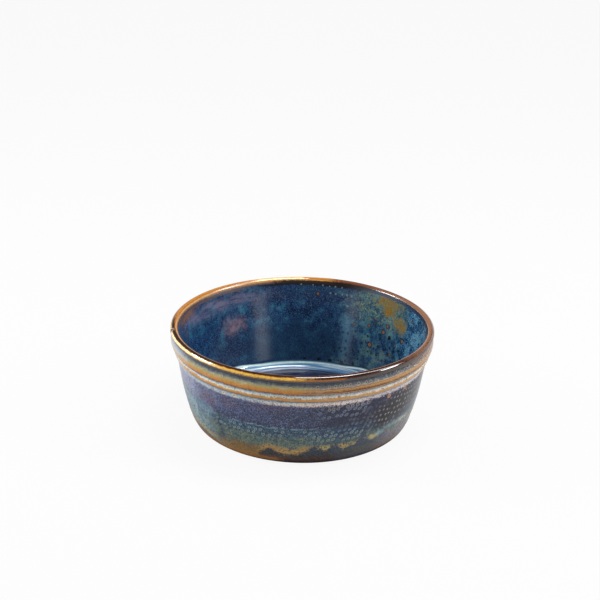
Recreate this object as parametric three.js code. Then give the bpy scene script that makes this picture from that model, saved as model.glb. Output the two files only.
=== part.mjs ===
// A round pie dish of stoneware: one fired clay body, with coats of coloured glaze fused to it.
// Millimetres, +Z up. The origin is the middle of the foot ring, on the table.
import * as THREE from "three";

// Overall sizes of the finished dish, glaze included
const RIM_DIAMETER = 140;
const HEIGHT = 56;

// Wall: straight and tapered inside, slightly swollen outside, a little thicker at its base
const WALL_TAPER = THREE.MathUtils.degToRad(12.9);
const WALL_TOP_THICKNESS = 3.9;
const WALL_BASE_THICKNESS = 4.3;
const WALL_SWELL = 0.6;

// Lip: a full round, which turns under outside as far as the neck
const LIP_THICKNESS = 4;
const LIP_TURN_UNDER = THREE.MathUtils.degToRad(45);

// Bands turned in the outside below the lip, in order from the top.
// Each has a height, an inset of its lower edge from the rim, and a swell out of the straight line.
const NECK_HEIGHT = 1.5;
const NECK_INSET = 0.5;
const NECK_SWELL = -0.2;
const UPPER_BEAD_HEIGHT = 5.2;
const UPPER_BEAD_INSET = 1;
const UPPER_BEAD_SWELL = 0.5;
const UPPER_GROOVE_HEIGHT = 2.2;
const UPPER_GROOVE_INSET = 2;
const UPPER_GROOVE_SWELL = -0.5;
const LOWER_BEAD_HEIGHT = 2.1;
const LOWER_BEAD_INSET = 2.75;
const LOWER_BEAD_SWELL = 0.35;
const LOWER_GROOVE_HEIGHT = 3.6;
const LOWER_GROOVE_SWELL = -0.35;

// Heel, foot ring and floor
const HEEL_HEIGHT = 8.7;
const HEEL_REACH = 7.9;
const FOOT_BARE_HEIGHT = 0.7;
const FOOT_EDGE = 1;
const FOOT_WIDTH = 4;
const RECESS_HEIGHT = 1.5;
const RECESS_SWEEP = 3;
const FLOOR_THICKNESS = 3.5;
const FLOOR_FILLET = 7;

// Glaze: thickness of every coat, and how far the rim's band runs down the wall inside
const GLAZE_THICKNESS = 0.4;
const RIM_BAND_DROP = 1.6;

// Colours and finishes
const BARE_CLAY = { color: 0xc9b79c, roughness: 0.8 };
const DEEP_BLUE = { color: 0x1e3a58, roughness: 0.12 };
const AMBER_BROWN = { color: 0x8c5a22, roughness: 0.15 };
const SLATE_BLUE = { color: 0x3e4a68, roughness: 0.15 };
const THIN_BLUE = { color: 0x37445a, roughness: 0.2 };

// Fineness of the solids: flat facets round the dish, and straight steps along each curve
const FACETS_AROUND = 40;
const BAND_STEPS = 4;
const ROUND_STEP = THREE.MathUtils.degToRad(26);
const SAME_POINT = 1e-6;

// Places worked out from the sizes, as (radius, height) on one half of the section
const rimRadius = RIM_DIAMETER / 2;
const floorHeight = RECESS_HEIGHT + FLOOR_THICKNESS;
const lipRadius = LIP_THICKNESS / 2;
const lipCentre = new THREE.Vector2(rimRadius - lipRadius, HEIGHT - lipRadius);
const alongWallDown = new THREE.Vector2(-Math.sin(WALL_TAPER), -Math.cos(WALL_TAPER));
const wallToAxis = new THREE.Vector2(-Math.cos(WALL_TAPER), Math.sin(WALL_TAPER));
const lipStart = lipCentre.clone().addScaledVector(wallToAxis, lipRadius);
const rimBandEdge = lipStart.clone().addScaledVector(alongWallDown, RIM_BAND_DROP);
const heelRadius = insideRadius(HEEL_HEIGHT) + WALL_BASE_THICKNESS;
const glazeLineRadius = heelRadius - HEEL_REACH;
const footOuterRadius = glazeLineRadius - FOOT_EDGE;
const footInnerRadius = footOuterRadius - FOOT_WIDTH;

// Radius of the straight wall inside, at a height
function insideRadius(height) {
  return lipStart.x - (lipStart.y - height) * Math.tan(WALL_TAPER);
}

// Centre of the round between the wall and the floor inside
function floorFilletCentre() {
  const onOffsetWall = lipStart.clone().addScaledVector(wallToAxis, FLOOR_FILLET);
  const drop = (onOffsetWall.y - floorHeight - FLOOR_FILLET) / Math.cos(WALL_TAPER);
  return onOffsetWall.addScaledVector(alongWallDown, drop);
}

// The lining: from the middle of the floor, up the wall, to the edge of the rim's band
function liningPath() {
  const centre = floorFilletCentre();
  const path = new THREE.Path();
  path.moveTo(0, floorHeight);
  path.lineTo(centre.x, floorHeight);
  path.absarc(centre.x, centre.y, FLOOR_FILLET, -Math.PI / 2, -WALL_TAPER, false);
  path.lineTo(rimBandEdge.x, rimBandEdge.y);
  return path;
}

// The rim's band: up the last of the wall and over the lip, by its highest and widest points
function rimPath() {
  const path = new THREE.Path();
  path.moveTo(rimBandEdge.x, rimBandEdge.y);
  path.lineTo(lipStart.x, lipStart.y);
  const turns = [Math.PI - WALL_TAPER, Math.PI / 2, 0, -LIP_TURN_UNDER];
  for (let turn = 1; turn < turns.length; turn++) {
    path.absarc(lipCentre.x, lipCentre.y, lipRadius, turns[turn - 1], turns[turn], true);
  }
  return path;
}

// One turned band: down by its height to a radius, with its middle swollen out of the straight line
function addBand(path, height, endRadius, swell) {
  const start = path.currentPoint;
  const end = new THREE.Vector2(endRadius, start.y - height);
  const control = start.clone().add(end).multiplyScalar(0.5);
  control.x += 2 * swell;
  path.quadraticCurveTo(control.x, control.y, end.x, end.y);
  return control;
}

// The outside: neck, beads and grooves, then the long wall and the heel, down to the bare foot
function outsidePath(start) {
  const path = new THREE.Path();
  path.moveTo(start.x, start.y);
  addBand(path, NECK_HEIGHT, rimRadius - NECK_INSET, NECK_SWELL);
  addBand(path, UPPER_BEAD_HEIGHT, rimRadius - UPPER_BEAD_INSET, UPPER_BEAD_SWELL);
  addBand(path, UPPER_GROOVE_HEIGHT, rimRadius - UPPER_GROOVE_INSET, UPPER_GROOVE_SWELL);
  addBand(path, LOWER_BEAD_HEIGHT, rimRadius - LOWER_BEAD_INSET, LOWER_BEAD_SWELL);
  const wallTop = path.currentPoint.y - LOWER_GROOVE_HEIGHT;
  const wallTopRadius = insideRadius(wallTop) + WALL_TOP_THICKNESS;
  addBand(path, LOWER_GROOVE_HEIGHT, wallTopRadius, LOWER_GROOVE_SWELL);
  const wallControl = addBand(path, wallTop - HEEL_HEIGHT, heelRadius, WALL_SWELL);
  const heelSlope = (wallControl.x - heelRadius) / (wallControl.y - HEEL_HEIGHT);
  const heelControlRadius = heelRadius - heelSlope * (HEEL_HEIGHT - FOOT_BARE_HEIGHT);
  path.quadraticCurveTo(heelControlRadius, FOOT_BARE_HEIGHT, glazeLineRadius, FOOT_BARE_HEIGHT);
  return path;
}

// The underside: from inside the foot ring up into the recess and across to the middle
function undersidePath() {
  const start = footInnerRadius - FOOT_BARE_HEIGHT;
  const path = new THREE.Path();
  path.moveTo(start, FOOT_BARE_HEIGHT);
  path.quadraticCurveTo(start, RECESS_HEIGHT, start - RECESS_SWEEP, RECESS_HEIGHT);
  path.lineTo(0, RECESS_HEIGHT);
  return path;
}

// Straight steps that stand for one curve of a path
function stepsOf(curve) {
  if (curve.isLineCurve) return 1;
  if (curve.isEllipseCurve) return Math.ceil(Math.abs(curve.aEndAngle - curve.aStartAngle) / ROUND_STEP);
  return BAND_STEPS;
}

// Points along a path, with steps only where it bends
function pointsAlong(path) {
  const points = [path.curves[0].getPoint(0)];
  for (const curve of path.curves) {
    const steps = stepsOf(curve);
    for (let step = 1; step <= steps; step++) {
      const point = curve.getPoint(step / steps);
      if (point.distanceTo(points.at(-1)) > SAME_POINT) points.push(point);
    }
  }
  return points;
}

// The same line, set into the clay by the thickness of the glaze. The clay lies right of the path.
function setIn(points) {
  return points.map((point, index) => {
    const before = points[Math.max(index - 1, 0)];
    const after = points[Math.min(index + 1, points.length - 1)];
    const along = after.clone().sub(before).normalize();
    return new THREE.Vector2(
      point.x + along.y * GLAZE_THICKNESS,
      point.y - along.x * GLAZE_THICKNESS,
    );
  });
}

// A coat of glaze between two points of a surface and the clay below it
function coatProfile(surface, clay, from, to) {
  const outer = surface.slice(from, to + 1).reverse();
  const profile = [...outer, ...clay.slice(from, to + 1)];
  const reachesAxis = profile.some((point) => point.x < SAME_POINT);
  if (reachesAxis) return startOnAxis(profile);
  return [...profile, profile[0].clone()];
}

// The same closed loop, begun and ended at its two points on the axis
function startOnAxis(profile) {
  const onAxis = profile.map((point) => point.x < SAME_POINT);
  const start = onAxis.findIndex((here, index) => here && onAxis.at(index - 1));
  return [...profile.slice(start), ...profile.slice(0, start)];
}

// Turn a profile of (radius, height) about the dish's axis
function turned(profile) {
  const points = profile.map((point) => new THREE.Vector2(Math.max(point.x, 0), point.y));
  const geometry = new THREE.LatheGeometry(points, FACETS_AROUND);
  geometry.rotateX(Math.PI / 2);
  return geometry;
}

// The finished surface, in its three zones, and the clay under it
const lining = pointsAlong(liningPath());
const rim = pointsAlong(rimPath());
const outside = pointsAlong(outsidePath(rim.at(-1)));
const surface = [...lining, ...rim.slice(1), ...outside.slice(1)];
const clay = setIn(surface);
const rimFrom = lining.length - 1;
const rimTo = rimFrom + rim.length - 1;
const underside = pointsAlong(undersidePath());
const undersideClay = setIn(underside);

// The clay from the middle of the recess, round the foot ring and over the lip, to the floor's middle
const bodyProfile = [
  ...undersideClay.toReversed(),
  new THREE.Vector2(footInnerRadius, 0),
  new THREE.Vector2(footOuterRadius, 0),
  ...clay.toReversed(),
];

const dish = new THREE.Group();
dish.name = "pie_dish";

function addPiece(name, profile, finish) {
  const material = new THREE.MeshStandardMaterial({ ...finish, metalness: 0 });
  const piece = new THREE.Mesh(turned(profile), material);
  piece.name = name;
  dish.add(piece);
}

addPiece("ceramic_body", bodyProfile, BARE_CLAY);
addPiece("inner_glaze", coatProfile(surface, clay, 0, rimFrom), DEEP_BLUE);
addPiece("rim_glaze", coatProfile(surface, clay, rimFrom, rimTo), AMBER_BROWN);
addPiece("outer_glaze", coatProfile(surface, clay, rimTo, surface.length - 1), SLATE_BLUE);
addPiece("base_glaze", coatProfile(underside, undersideClay, 0, underside.length - 1), THIN_BLUE);

export default dish;
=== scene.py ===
# Looks of a round stoneware pie dish: turned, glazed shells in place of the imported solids.
# Sizes are in millimetres, and meshes in metres. Angles go round from the front, positive to the right.
import math

import bpy
import numpy as np
from mathutils import Matrix, Vector


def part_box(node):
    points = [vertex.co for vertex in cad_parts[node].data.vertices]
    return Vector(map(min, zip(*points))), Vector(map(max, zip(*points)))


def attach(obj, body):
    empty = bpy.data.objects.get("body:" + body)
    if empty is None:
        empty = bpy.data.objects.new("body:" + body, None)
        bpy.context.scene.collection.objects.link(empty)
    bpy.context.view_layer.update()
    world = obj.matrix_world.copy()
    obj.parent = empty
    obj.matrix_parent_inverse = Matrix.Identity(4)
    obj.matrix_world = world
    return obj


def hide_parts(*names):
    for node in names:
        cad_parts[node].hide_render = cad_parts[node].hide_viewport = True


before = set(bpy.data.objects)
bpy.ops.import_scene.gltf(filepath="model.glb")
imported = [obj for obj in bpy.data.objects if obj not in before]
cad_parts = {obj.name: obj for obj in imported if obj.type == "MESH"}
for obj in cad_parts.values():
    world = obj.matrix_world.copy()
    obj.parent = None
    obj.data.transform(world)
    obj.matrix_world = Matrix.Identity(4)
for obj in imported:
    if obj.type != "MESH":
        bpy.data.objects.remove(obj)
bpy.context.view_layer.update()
MM = 0.001

# Rim and height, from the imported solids
_, rim_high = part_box("rim_glaze")
RIM_RADIUS = rim_high.x / MM
HEIGHT = rim_high.z / MM

# The dish's section, as in the part's source
WALL_TAPER = math.radians(12.9)
WALL_TOP_THICKNESS = 3.9
WALL_BASE_THICKNESS = 4.3
WALL_SWELL = 0.6
LIP_RADIUS = 2
LIP_TURN_UNDER = math.radians(45)
NECK_HEIGHT = 1.5
NECK_INSET = 0.5
NECK_SWELL = -0.2
UPPER_BEAD_HEIGHT = 5.2
UPPER_BEAD_INSET = 1
UPPER_BEAD_SWELL = 0.5
UPPER_GROOVE_HEIGHT = 2.2
UPPER_GROOVE_INSET = 2
UPPER_GROOVE_SWELL = -0.5
LOWER_BEAD_HEIGHT = 2.1
LOWER_BEAD_INSET = 2.75
LOWER_BEAD_SWELL = 0.35
LOWER_GROOVE_HEIGHT = 3.6
LOWER_GROOVE_SWELL = -0.35
HEEL_HEIGHT = 8.7
HEEL_REACH = 7.9
FOOT_BARE_HEIGHT = 0.7
FOOT_EDGE = 1
FOOT_WIDTH = 4
FOOT_ROUND = 0.35
RECESS_HEIGHT = 1.5
RECESS_SWEEP = 3
FLOOR_HEIGHT = 5
FLOOR_FILLET = 7
GLAZE_THICKNESS = 0.4
RIM_BAND_DROP = 1.6

# Fineness of the meshes: points round the dish, steps from row to row, and rows kept on hidden sides
AROUND = 480
FINE_STEP = 0.22
WALL_STEP = 0.5
FLOOR_STEP = 1.5
BACK_EVERY = 4
CLAY_EVERY = 2
ON_AXIS = 1e-9

# Layout of the shells' maps: shares of the height for shown and hidden rows, and how full a strip is
SHOWN_SHARE = 0.93
HIDDEN_SHARE = 0.06
MAP_FILL = 0.985

# Relief of the hand-finished surface: uneven waves, throwing rings, and the step at the drips' edge
RELIEF_SEED = 11
WAVE_DEPTH = 0.05
WAVE_COUNT = 10
WAVE_TURNS = (2, 9)
WAVE_CLIMB = 0.12
RING_DEPTH = 0.03
RING_SPACING = 4.3
RING_DRIFT = 1 / 6
RING_DRIFT_PHASE = 0.7
DRIP_DEPTH = 0.12
DRIP_EDGE = 0.6

# Where the relief fades in or out: depths for rings, drips and rim, and a radius on the floor
RING_FADE = (20, 26)
DRIP_FADE = (24, 34)
RIM_FADE = (4, 1)
FLOOR_FADE = (15, 48)

# Lower edge of the pale second coat outside: (angle, depth below the rim)
DRIP_LINE = [
    (-180, 43.5), (-168, 40), (-158, 45), (-149, 41), (-137, 46), (-126, 40.5), (-115, 45),
    (-105, 42), (-92, 47), (-80, 43), (-70, 48), (-58, 47), (-45, 50), (-36, 52), (-24, 52),
    (-20.5, 49.2), (-17.5, 45.8), (-14.5, 43.4), (-11, 46.5), (-6, 47.2), (-1, 46.8), (3, 44.5),
    (6.5, 41), (12, 45.2), (16, 40.6), (21, 45), (23.5, 43.5), (26, 44.2), (30.3, 37.4),
    (36.5, 43.2), (44, 39.4), (48, 42), (60, 41), (80, 44), (92, 40), (106, 45), (118, 41),
    (131, 46), (145, 42), (158, 46.5), (170, 41),
]


# Section of the dish: rows of (radius, height)


def point(radius, height):
    return np.array([radius, height], float)


def line_to(start, end, step):
    """Points of a straight line, its start left out."""
    count = max(1, math.ceil(np.linalg.norm(end - start) / step))
    share = np.arange(1, count + 1)[:, None] / count
    return start + (end - start) * share


def arc_to(centre, radius, first, last, step):
    """Points of a round, its start left out."""
    count = max(2, math.ceil(abs(last - first) * radius / step))
    turn = first + (last - first) * np.arange(1, count + 1) / count
    return centre + radius * np.stack([np.cos(turn), np.sin(turn)], 1)


def bend_to(start, control, end, step):
    """Points of a quadratic curve, its start left out."""
    length = np.linalg.norm(control - start) + np.linalg.norm(end - control)
    count = max(2, math.ceil(length / step))
    share = np.arange(1, count + 1)[:, None] / count
    return (1 - share) ** 2 * start + 2 * share * (1 - share) * control + share**2 * end


def inside_radius(height):
    """Radius of the straight wall inside, at a height."""
    return lip_start[0] - (lip_start[1] - height) * math.tan(WALL_TAPER)


lip_centre = point(RIM_RADIUS - LIP_RADIUS, HEIGHT - LIP_RADIUS)
along_wall_down = point(-math.sin(WALL_TAPER), -math.cos(WALL_TAPER))
wall_to_axis = point(-math.cos(WALL_TAPER), math.sin(WALL_TAPER))
lip_start = lip_centre + LIP_RADIUS * wall_to_axis
rim_band_edge = lip_start + RIM_BAND_DROP * along_wall_down
heel_radius = inside_radius(HEEL_HEIGHT) + WALL_BASE_THICKNESS
glaze_line_radius = heel_radius - HEEL_REACH
foot_outer_radius = glaze_line_radius - FOOT_EDGE
foot_inner_radius = foot_outer_radius - FOOT_WIDTH


def fillet_centre():
    """Centre of the round between the wall and the floor inside."""
    on_offset_wall = lip_start + FLOOR_FILLET * wall_to_axis
    drop = (on_offset_wall[1] - FLOOR_HEIGHT - FLOOR_FILLET) / math.cos(WALL_TAPER)
    return on_offset_wall + drop * along_wall_down


def lining_section():
    """From the middle of the floor, up the wall, to the edge of the rim's band."""
    centre = fillet_centre()
    middle = point(0, FLOOR_HEIGHT)
    floor_edge = point(centre[0], FLOOR_HEIGHT)
    rows = [middle[None], line_to(middle, floor_edge, FLOOR_STEP)]
    rows.append(arc_to(centre, FLOOR_FILLET, -math.pi / 2, -WALL_TAPER, WALL_STEP))
    rows.append(line_to(rows[-1][-1], rim_band_edge, WALL_STEP))
    return np.concatenate(rows)


def rim_section():
    """Up the last of the wall and over the lip, by its highest and widest points."""
    turns = [math.pi - WALL_TAPER, math.pi / 2, 0, -LIP_TURN_UNDER]
    rows = [rim_band_edge[None], line_to(rim_band_edge, lip_start, FINE_STEP)]
    for first, last in zip(turns, turns[1:]):
        rows.append(arc_to(lip_centre, LIP_RADIUS, first, last, FINE_STEP))
    return np.concatenate(rows)


def band_to(start, height, radius, swell, step):
    """One turned band: its rows, and the control point of its curve."""
    end = point(radius, start[1] - height)
    control = (start + end) / 2 + point(2 * swell, 0)
    return bend_to(start, control, end, step), control


def outside_section(start):
    """Neck, beads and grooves, the long wall and the heel, down to the bare foot."""
    collar = [
        (NECK_HEIGHT, NECK_INSET, NECK_SWELL),
        (UPPER_BEAD_HEIGHT, UPPER_BEAD_INSET, UPPER_BEAD_SWELL),
        (UPPER_GROOVE_HEIGHT, UPPER_GROOVE_INSET, UPPER_GROOVE_SWELL),
        (LOWER_BEAD_HEIGHT, LOWER_BEAD_INSET, LOWER_BEAD_SWELL),
    ]
    rows = [start[None]]
    for height, inset, swell in collar:
        band, _ = band_to(rows[-1][-1], height, RIM_RADIUS - inset, swell, FINE_STEP)
        rows.append(band)
    top = rows[-1][-1]
    wall_top = top[1] - LOWER_GROOVE_HEIGHT
    wall_radius = inside_radius(wall_top) + WALL_TOP_THICKNESS
    band, _ = band_to(top, LOWER_GROOVE_HEIGHT, wall_radius, LOWER_GROOVE_SWELL, FINE_STEP)
    rows.append(band)
    wall_height = wall_top - HEEL_HEIGHT
    band, control = band_to(rows[-1][-1], wall_height, heel_radius, WALL_SWELL, WALL_STEP)
    rows.append(band)
    slope = (control[0] - heel_radius) / (control[1] - HEEL_HEIGHT)
    corner_radius = heel_radius - slope * (HEEL_HEIGHT - FOOT_BARE_HEIGHT)
    corner = point(corner_radius, FOOT_BARE_HEIGHT)
    glaze_line = point(glaze_line_radius, FOOT_BARE_HEIGHT)
    rows.append(bend_to(rows[-1][-1], corner, glaze_line, WALL_STEP))
    return np.concatenate(rows)


def underside_section():
    """From inside the foot ring up into the recess and across to the middle."""
    start = point(foot_inner_radius - FOOT_BARE_HEIGHT, FOOT_BARE_HEIGHT)
    corner = point(start[0], RECESS_HEIGHT)
    edge = point(start[0] - RECESS_SWEEP, RECESS_HEIGHT)
    middle = point(0, RECESS_HEIGHT)
    rows = [start[None], bend_to(start, corner, edge, FINE_STEP)]
    rows.append(line_to(edge, middle, FLOOR_STEP))
    return np.concatenate(rows)


def outward(rows):
    """Unit normals of a section's rows, away from the clay."""
    along = np.gradient(rows, axis=0)
    along /= np.linalg.norm(along, axis=1)[:, None]
    normals = np.stack([-along[:, 1], along[:, 0]], 1)
    normals[rows[:, 0] == 0, 0] = 0
    return normals


# Relief


def smoothstep(low, high, value):
    share = np.clip((value - low) / (high - low), 0, 1)
    return share * share * (3 - 2 * share)


draw = np.random.default_rng(RELIEF_SEED)
wave_turns = draw.integers(*WAVE_TURNS, WAVE_COUNT)
wave_phases = draw.uniform(0, 2 * math.pi, WAVE_COUNT)
wave_climbs = draw.uniform(-WAVE_CLIMB, WAVE_CLIMB, WAVE_COUNT)
angles = 2 * math.pi * np.arange(AROUND) / AROUND


def relief(rows, drips):
    """How far the surface stands out at each row and angle."""
    depth = (HEIGHT - rows[:, 1])[:, None]
    radius = rows[:, 0][:, None]
    lift = np.zeros((len(rows), AROUND))
    for turns, phase, climb in zip(wave_turns, wave_phases, wave_climbs):
        lift += np.sin(turns * angles + phase + climb * depth)
    lift *= WAVE_DEPTH / math.sqrt(WAVE_COUNT)
    if drips:
        drift = np.sin(angles + RING_DRIFT_PHASE) * RING_DRIFT
        rings = np.sin(2 * math.pi * (depth / RING_SPACING + drift))
        lift += RING_DEPTH * rings * smoothstep(*RING_FADE, depth)
        stops = np.array(DRIP_LINE)
        edge = np.interp(np.degrees(angles), stops[:, 0], stops[:, 1], period=360)
        step = smoothstep(-DRIP_EDGE, DRIP_EDGE, edge - depth)
        lift += DRIP_DEPTH * step * smoothstep(*DRIP_FADE, depth)
    # Nothing stands over the rim, and the middle of the floor is flat
    lift -= 2 * WAVE_DEPTH * smoothstep(*RIM_FADE, depth)
    return lift * smoothstep(*FLOOR_FADE, radius)


# Meshes


def turned(rows, normals, lift):
    """Places of every row at every angle, in metres."""
    radius = rows[:, 0, None] + normals[:, 0, None] * lift
    height = rows[:, 1, None] + normals[:, 1, None] * lift
    return np.stack([radius * np.sin(angles), -radius * np.cos(angles), height], -1) * MM


def grid_normals(places):
    """Normals of a turned surface, smooth over the borders between its coats."""
    around = np.roll(places, -1, axis=1) - np.roll(places, 1, axis=1)
    along = np.gradient(places, axis=0)
    normals = np.cross(along, around)
    length = np.linalg.norm(normals, axis=-1, keepdims=True)
    return normals / np.maximum(length, 1e-12)


def is_pole(ring):
    return np.abs(ring[:, :2]).max() < ON_AXIS


def ring_faces(first, second, first_pole, second_pole):
    """Faces between two rings of points, given by their first numbers."""
    here = np.arange(AROUND)
    after = (here + 1) % AROUND
    if first_pole:
        return np.stack([np.full(AROUND, first), second + here, second + after], 1)
    if second_pole:
        return np.stack([first + here, np.full(AROUND, second), first + after], 1)
    return np.stack([first + here, second + here, second + after, first + after], 1)


def ring_pairs(poles):
    """Numbers of the rings that faces join: each to the next, and the last to the first."""
    count = len(poles)
    pairs = [(row, (row + 1) % count) for row in range(count)]
    return [(row, following) for row, following in pairs if not (poles[row] and poles[following])]


def lathe_mesh(name, rings):
    """A closed mesh through rings of points. A ring on the axis becomes one point."""
    poles = [is_pole(ring) for ring in rings]
    kept = [ring[:1] if pole else ring for ring, pole in zip(rings, poles)]
    starts = np.concatenate([[0], np.cumsum([len(ring) for ring in kept])])
    faces = []
    for row, following in ring_pairs(poles):
        block = ring_faces(starts[row], starts[following], poles[row], poles[following])
        faces += block.tolist()
    mesh = bpy.data.meshes.new(name)
    mesh.from_pydata(np.concatenate(kept).tolist(), [], faces)
    mesh.update()
    return mesh


def row_lengths(rings):
    """Length along the rings from the first one, at the first angle, in millimetres."""
    steps = [np.linalg.norm(b[0] - a[0]) / MM for a, b in zip(rings, rings[1:])]
    return np.concatenate([[0], np.cumsum(steps)])


def add_map(mesh, rings, shown, strips):
    """Lay the shown rows out in strips one over another, and the hidden rows in a last thin one."""
    lengths = row_lengths(rings)
    tall = lengths[shown - 1]
    hidden = max(lengths[-1] - tall, 1)
    per_strip = AROUND // strips
    strip_height = SHOWN_SHARE / strips
    poles = [is_pole(ring) for ring in rings]
    here = np.arange(AROUND)
    corners = []
    for row, following in ring_pairs(poles):
        if row < shown - 1:
            left = (here % per_strip) / per_strip
            right = left + 1 / per_strip
            base = (here // per_strip) * strip_height
            low = base + MAP_FILL * strip_height * lengths[row] / tall
            high = base + MAP_FILL * strip_height * lengths[following] / tall
        else:
            left = here / AROUND
            right = left + 1 / AROUND
            end = lengths[following] if following else lengths[-1] + GLAZE_THICKNESS
            low = np.full(AROUND, 1 - HIDDEN_SHARE * (lengths[row] - tall) / hidden)
            high = np.full(AROUND, 1 - HIDDEN_SHARE * (end - tall) / hidden)
        middle = (left + right) / 2
        if poles[row]:
            block = [(middle, low), (left, high), (right, high)]
        elif poles[following]:
            block = [(left, low), (middle, high), (right, low)]
        else:
            block = [(left, low), (left, high), (right, high), (right, low)]
        flat = np.stack([np.stack([u, v], 1) for u, v in block], 1)
        corners.append(flat.reshape(-1, 2))
    layer = mesh.uv_layers.new(name="OFBake")
    layer.uv.foreach_set("vector", np.concatenate(corners).astype(np.float32).ravel())


def add_piece(mesh, node):
    piece = bpy.data.objects.new("dish_" + node, mesh)
    bpy.context.scene.collection.objects.link(piece)
    mesh.polygons.foreach_set("use_smooth", np.ones(len(mesh.polygons), bool))
    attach(piece, "root")
    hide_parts(node)
    return piece


def set_normals(mesh, rings, normals):
    """Give the shown faces their own smooth normals, and leave the hidden ones as they are."""
    ready = np.zeros((len(mesh.vertices), 3))
    count = 0
    for ring, normal in zip(rings, normals):
        size = 1 if is_pole(ring) else AROUND
        ready[count : count + size] = normal[:size]
        count += size
    faces = np.zeros(len(mesh.loops), np.int32)
    mesh.loops.foreach_get("vertex_index", faces)
    starts = np.zeros(len(mesh.polygons), np.int32)
    totals = np.zeros(len(mesh.polygons), np.int32)
    mesh.polygons.foreach_get("loop_start", starts)
    mesh.polygons.foreach_get("loop_total", totals)
    shown = (faces < count).astype(np.int32)
    whole = np.add.reduceat(shown, starts) == totals
    corner_normals = ready[np.minimum(faces, count - 1)]
    corner_normals[~np.repeat(whole, totals)] = 0
    mesh.normals_split_custom_set(corner_normals.tolist())


def add_coat(node, rows, normals, lift, smooth, strips):
    """One coat of glaze: its shown surface in full detail, and a plainer back on the clay."""
    shown = turned(rows, normals, lift)
    keep = sorted(set(range(0, len(rows), BACK_EVERY)) | {len(rows) - 1})
    back = turned(rows[keep], normals[keep], lift[keep] - GLAZE_THICKNESS)
    rings = list(shown) + list(back[::-1])
    mesh = lathe_mesh("dish_" + node, rings)
    add_map(mesh, rings, len(shown), strips)
    piece = add_piece(mesh, node)
    set_normals(mesh, shown, smooth)
    return piece


def foot_section():
    """The bare foot ring, from outside to inside, with its edges slightly round."""
    ring = [
        point(foot_outer_radius + FOOT_ROUND, FOOT_ROUND),
        point(foot_outer_radius, FOOT_ROUND / 4),
        point(foot_outer_radius - FOOT_ROUND, 0),
        point(foot_inner_radius + FOOT_ROUND, 0),
        point(foot_inner_radius, FOOT_ROUND / 4),
        point(foot_inner_radius - FOOT_ROUND, FOOT_ROUND),
    ]
    return np.array(ring)


def add_body(surface, surface_normals, lift, underside, underside_normals):
    """The clay: under the coats, and bare on the foot ring."""
    clay = turned(surface, surface_normals, lift - GLAZE_THICKNESS)
    keep = sorted(set(range(0, len(surface), CLAY_EVERY)) | {len(surface) - 1})
    foot = foot_section()
    flat = np.zeros((len(foot), AROUND))
    recess = np.full((len(underside), AROUND), -GLAZE_THICKNESS)
    rings = list(clay[keep])
    rings += list(turned(foot, np.zeros_like(foot), flat))
    rings += list(turned(underside, underside_normals, recess))
    mesh = lathe_mesh("dish_ceramic_body", rings)
    add_map(mesh, rings, len(rings), 1)
    return add_piece(mesh, "ceramic_body")


# Paint: node trees for the glazes
# How far each seed moves the noise along each axis, and how soft a spot's edge is
SEED_STEP = (17.3, 5.9, 11.1)
SPOT_EDGE = 0.25

# Sizes of a glaze's unevenness, from broad to fine. The runs are drawn out downwards.
WANDER_SIZE = 9
RAGGED_SIZE = 2
RUNS_SIZE = 1.2
RUNS_SQUASH = 0.22
GRAIN_SIZE = 0.8
FLECKS_SIZE = 0.55


def linear(colour):
    """A colour written as sRGB levels from 0 to 255, as the shader wants it."""
    levels = [level / 255 for level in colour]
    values = [v / 12.92 if v <= 0.04045 else ((v + 0.055) / 1.055) ** 2.4 for v in levels]
    return (*values, 1)


class Value:
    """A number at every point or in every direction, from a node. It adds up like a plain number."""

    def __init__(self, tree, socket):
        self.tree = tree
        self.socket = socket

    def __add__(self, other):
        return self.tree.maths("ADD", self, other)

    def __sub__(self, other):
        return self.tree.maths("SUBTRACT", self, other)

    def __rsub__(self, other):
        return self.tree.maths("SUBTRACT", other, self)

    def __mul__(self, other):
        return self.tree.maths("MULTIPLY", self, other)

    def __truediv__(self, other):
        return self.tree.maths("DIVIDE", self, other)

    def __abs__(self):
        return self.tree.maths("ABSOLUTE", self)

    __radd__ = __add__
    __rmul__ = __mul__

    def rise(self, low, high, least=0):
        """0 or another least level at low, 1 at high, with a smooth rise. Low may be the greater."""
        node = self.tree.nodes.new("ShaderNodeMapRange")
        node.interpolation_type = "SMOOTHSTEP"
        self.tree.feed(node.inputs["Value"], self)
        self.tree.feed(node.inputs["From Min"], low)
        self.tree.feed(node.inputs["From Max"], high)
        self.tree.feed(node.inputs["To Min"], least)
        return Value(self.tree, node.outputs["Result"])

    def band(self, low, high, soft):
        """1 from low to high, with soft edges."""
        return self.rise(low - soft, low + soft) * self.rise(high + soft, high - soft)

    def ramp(self, stops):
        """A colour for each level of the value, from (level, colour) stops."""
        low = stops[0][0]
        span = stops[-1][0] - low
        node = self.tree.nodes.new("ShaderNodeValToRGB")
        self.tree.feed(node.inputs["Fac"], (self - low) / span)
        elements = node.color_ramp.elements
        while len(elements) < len(stops):
            elements.new(0.5)
        for element, (level, colour) in zip(elements, stops):
            element.position = (level - low) / span
            element.color = linear(colour)
        return node.outputs["Color"]

    def levels(self, stops):
        """A number for each level of the value, on straight lines between (level, number) stops."""
        low = stops[0][0]
        span = stops[-1][0] - low
        most = max(number for level, number in stops)
        node = self.tree.nodes.new("ShaderNodeFloatCurve")
        self.tree.feed(node.inputs["Value"], (self - low) / span)
        points = node.mapping.curves[0].points
        while len(points) < len(stops):
            points.new(0.5, 0.5)
        for knot, (level, number) in zip(points, stops):
            knot.location = ((level - low) / span, number / most)
            knot.handle_type = "VECTOR"
        node.mapping.update()
        return Value(self.tree, node.outputs["Value"]) * most


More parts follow.
